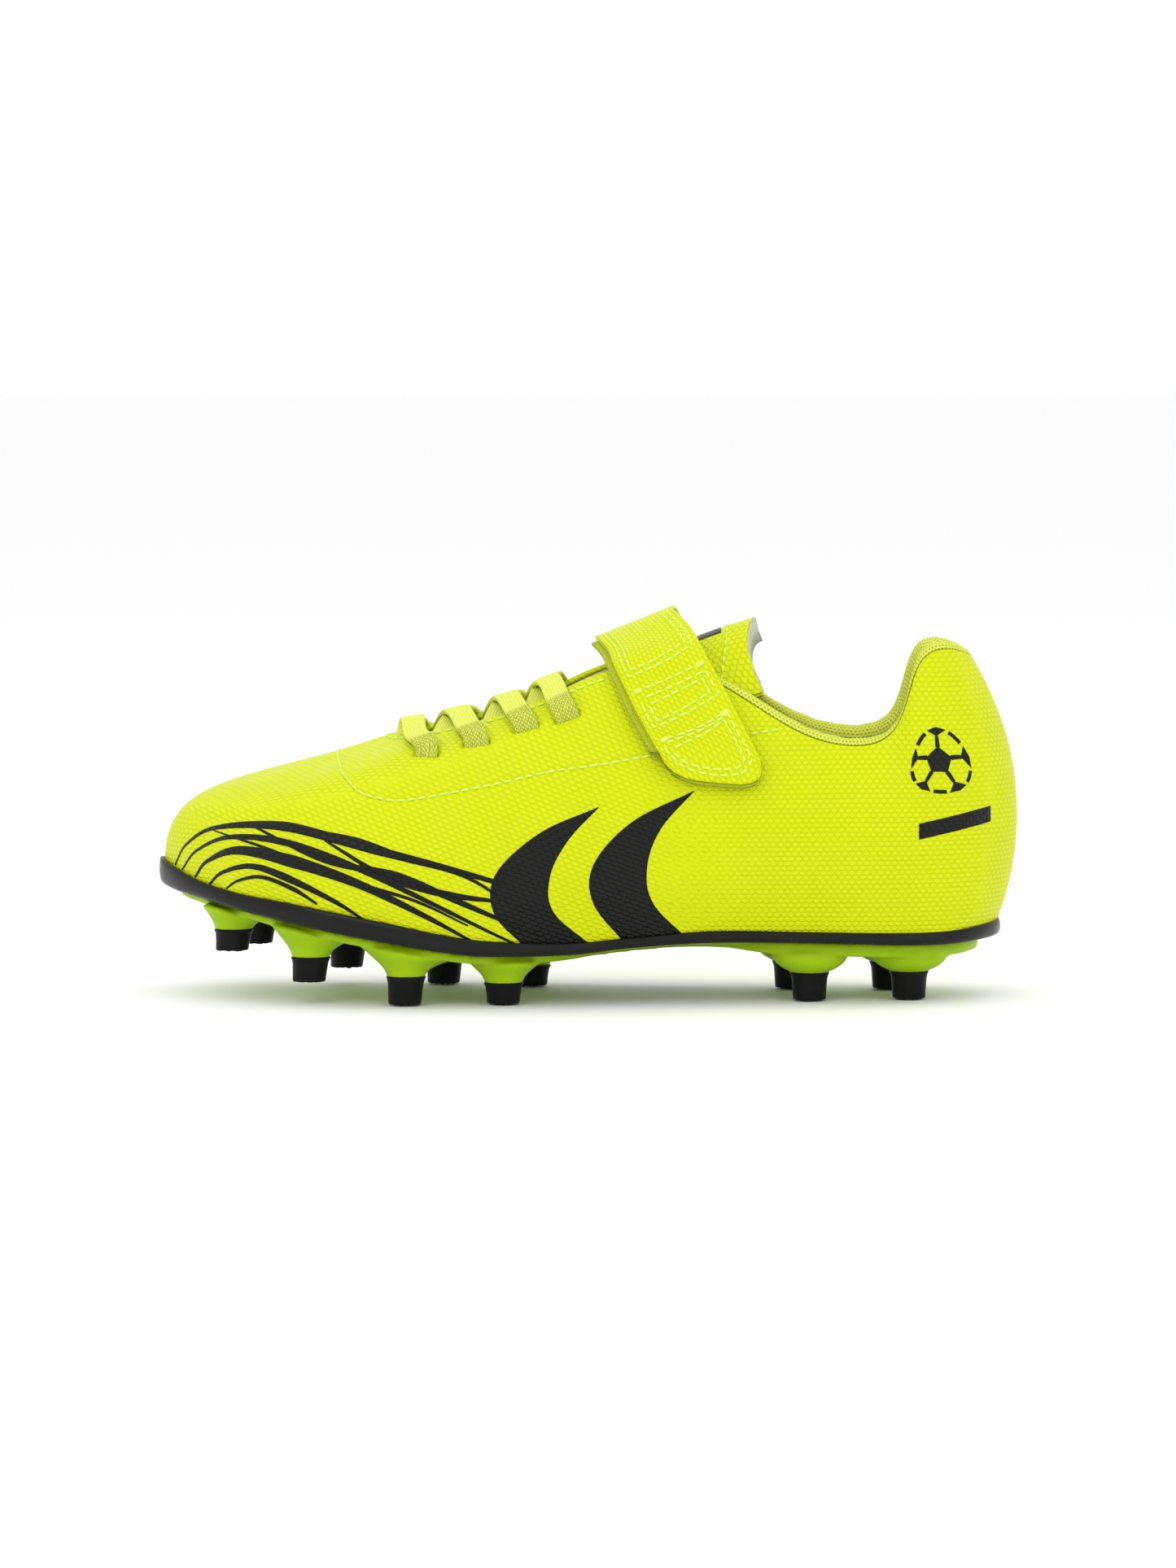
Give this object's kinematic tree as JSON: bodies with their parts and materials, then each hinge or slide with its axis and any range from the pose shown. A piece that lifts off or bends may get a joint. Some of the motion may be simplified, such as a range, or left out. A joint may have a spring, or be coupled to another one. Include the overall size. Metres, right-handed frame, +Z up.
{
  "type": "soccer cleat",
  "caption": "Left football boot with moulded studs, elastic cross lacing, padded collar, a hinged tongue and a hook-and-loop instep strap.",
  "frame": {"origin": "middle of the boot's box on the ground plane, under the stud tips", "axes": "+X from toe to heel, +Y towards the inner (medial) side, +Z up"},
  "size_m": [0.2195, 0.079, 0.0988],
  "materials": {
    "upper_synthetic": "embossed satin synthetic, neon yellow",
    "strap_synthetic": "embossed satin synthetic, neon yellow",
    "strap_backing": "brushed backing fabric",
    "hook_fabric": "hook fastener tape",
    "loop_fabric": "brushed loop fastener",
    "mesh_lining": "muted yellow-green knit mesh",
    "elastic": "ribbed pale yellow-green elastic",
    "foam": "open-cell foam",
    "stiffener": "pressed fibre and resin sheet",
    "board": "fibre lasting board",
    "bed_fabric": "brushed knit",
    "plate_green": "semi-gloss lime green moulded plastic",
    "rim_black": "glossy black moulded plastic",
    "stud_black": "satin black moulded rubber"
  },
  "bodies": {
    "boot": {"outsole_frame": "rim_black", "stud_plate": "plate_green", "stud_tip_lateral_1": "stud_black", "stud_tip_lateral_2": "stud_black", "stud_tip_lateral_3": "stud_black", "stud_tip_lateral_4": "stud_black", "stud_tip_medial_1": "stud_black", "stud_tip_medial_2": "stud_black", "stud_tip_medial_3": "stud_black", "stud_tip_medial_4": "stud_black", "stud_tip_heel_lateral_1": "stud_black", "stud_tip_heel_lateral_2": "stud_black", "stud_tip_heel_medial_1": "stud_black", "stud_tip_heel_medial_2": "stud_black", "insole_board": "board", "sockliner_foam": "foam", "sockliner_cover": "bed_fabric", "upper_shell": "upper_synthetic", "toe_puff": "stiffener", "heel_counter": "stiffener", "eyestay_lateral": "stiffener", "eyestay_medial": "stiffener", "vamp_lining": "mesh_lining", "collar_foam": "foam", "quarter_lining": "mesh_lining", "loop_patch": "loop_fabric", "strap_anchor": "upper_synthetic", "elastic_lace_1": "elastic", "elastic_lace_2": "elastic", "elastic_lace_3": "elastic", "elastic_lace_4": "elastic"},
    "tongue": {"tongue_face": "upper_synthetic", "tongue_foam": "foam", "tongue_lining": "mesh_lining"},
    "strap": {"strap_face": "strap_synthetic", "strap_backing": "strap_backing"},
    "strap_tip": {"strap_tip_face": "strap_synthetic", "strap_tip_hook": "hook_fabric"}
  },
  "joints": [
    {"name": "strap_swing", "type": "hinge", "parent": "boot", "child": "strap", "pos_m": [0.019, 0.0303, 0.0718], "axis": [-0.9998, -0.0065, 0.0194], "range_deg": [0, 110]},
    {"name": "strap_tip_peel", "type": "hinge", "parent": "strap", "child": "strap_tip", "pos_m": [0.01845, -0.0226, 0.0866], "axis": [-0.988, 0.1014, -0.1165], "range_deg": [0, 90]},
    {"name": "tongue_tilt", "type": "hinge", "parent": "boot", "child": "tongue", "pos_m": [-0.052, 0.0036, 0.058], "axis": [0, 1, 0], "range_deg": [0, 12]}
  ]
}
